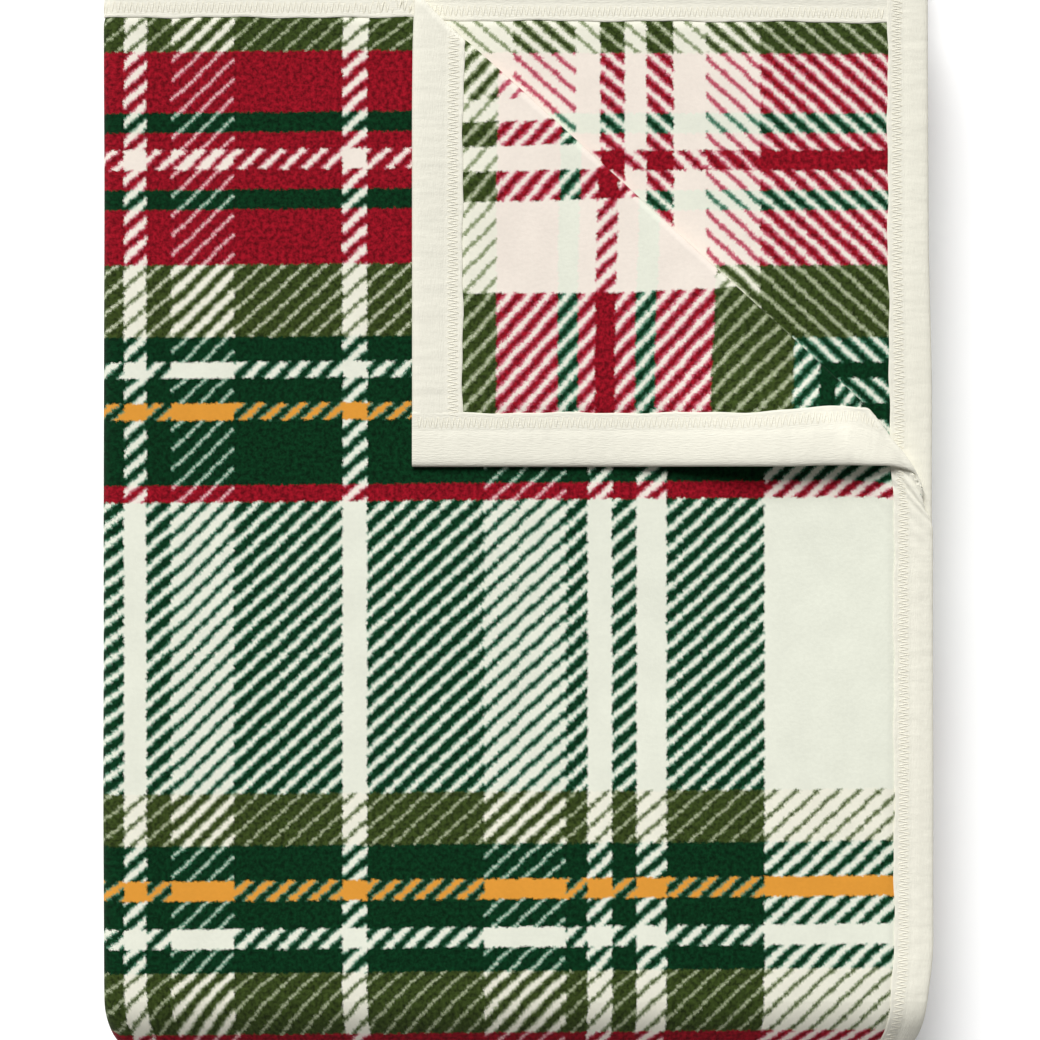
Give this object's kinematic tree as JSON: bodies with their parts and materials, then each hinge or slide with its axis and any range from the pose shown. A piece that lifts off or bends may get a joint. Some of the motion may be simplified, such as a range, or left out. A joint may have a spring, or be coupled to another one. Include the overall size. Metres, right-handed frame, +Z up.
{
  "type": "blanket",
  "caption": "Plaid double-faced woven blanket with bound edges, folded into a flat rectangle, one corner of its top layer turned back.",
  "frame": {"origin": "middle of the underside of the folded blanket, on the surface it lies on", "axes": "+Z up through the layers, +Y towards the head edge, +X towards the two side edges; the fold that opens first is at -Y"},
  "size_m": [0.3826, 0.5272, 0.0592],
  "materials": {
    "cloth": "double-faced woven and napped cotton blend, plaid in red, olive, dark green, orange and cream",
    "binding": "cream brushed cotton binding folded over the edge",
    "stitches": "cream thread in a wide overlapping zigzag seam"
  },
  "bodies": {
    "lower_half": {"cloth_lower_half": "cloth", "first_side_binding_lower_half": "binding", "first_side_stitches_lower_half": "stitches", "second_side_binding_lower_half": "binding", "second_side_stitches_lower_half": "stitches", "cloth_outer_fold": "cloth", "cloth_inner_fold": "cloth", "first_side_binding_outer_fold": "binding", "first_side_binding_inner_fold": "binding", "first_side_stitches_folds": "stitches", "second_side_binding_outer_fold": "binding", "second_side_binding_inner_fold": "binding", "second_side_stitches_folds": "stitches"},
    "upper_half": {"cloth_upper_top": "cloth", "cloth_upper_inside": "cloth", "first_side_binding_upper_half": "binding", "first_side_stitches_upper_half": "stitches", "second_side_binding_upper_half": "binding", "second_side_stitches_upper_half": "stitches", "head_binding": "binding", "head_stitches": "stitches", "foot_binding": "binding", "foot_stitches": "stitches", "cloth_crease": "cloth", "first_side_binding_crease": "binding", "first_side_stitches_crease": "stitches", "head_binding_crease": "binding", "head_stitches_crease": "stitches"},
    "turned_corner": {"cloth_corner": "cloth", "first_side_binding_corner": "binding", "first_side_stitches_corner": "stitches", "head_binding_corner": "binding", "head_stitches_corner": "stitches"}
  },
  "joints": [
    {"name": "half_fold", "type": "hinge", "parent": "lower_half", "child": "upper_half", "pos_m": [0, -0.24976, 0.0296], "axis": [1, 0, 0], "range_deg": [0, 179.8], "deforming": ["cloth_outer_fold", "cloth_inner_fold", "first_side_binding_outer_fold", "first_side_binding_inner_fold", "first_side_stitches_folds", "second_side_binding_outer_fold", "second_side_binding_inner_fold", "second_side_stitches_folds"]},
    {"name": "corner_fold", "type": "hinge", "parent": "upper_half", "child": "turned_corner", "pos_m": [0.07183, 0.12026, 0.05585], "axis": [-0.7071, 0.7071, 0], "range_deg": [0, 179.8], "deforming": ["cloth_crease", "first_side_binding_crease", "first_side_stitches_crease", "head_binding_crease", "head_stitches_crease"]}
  ]
}
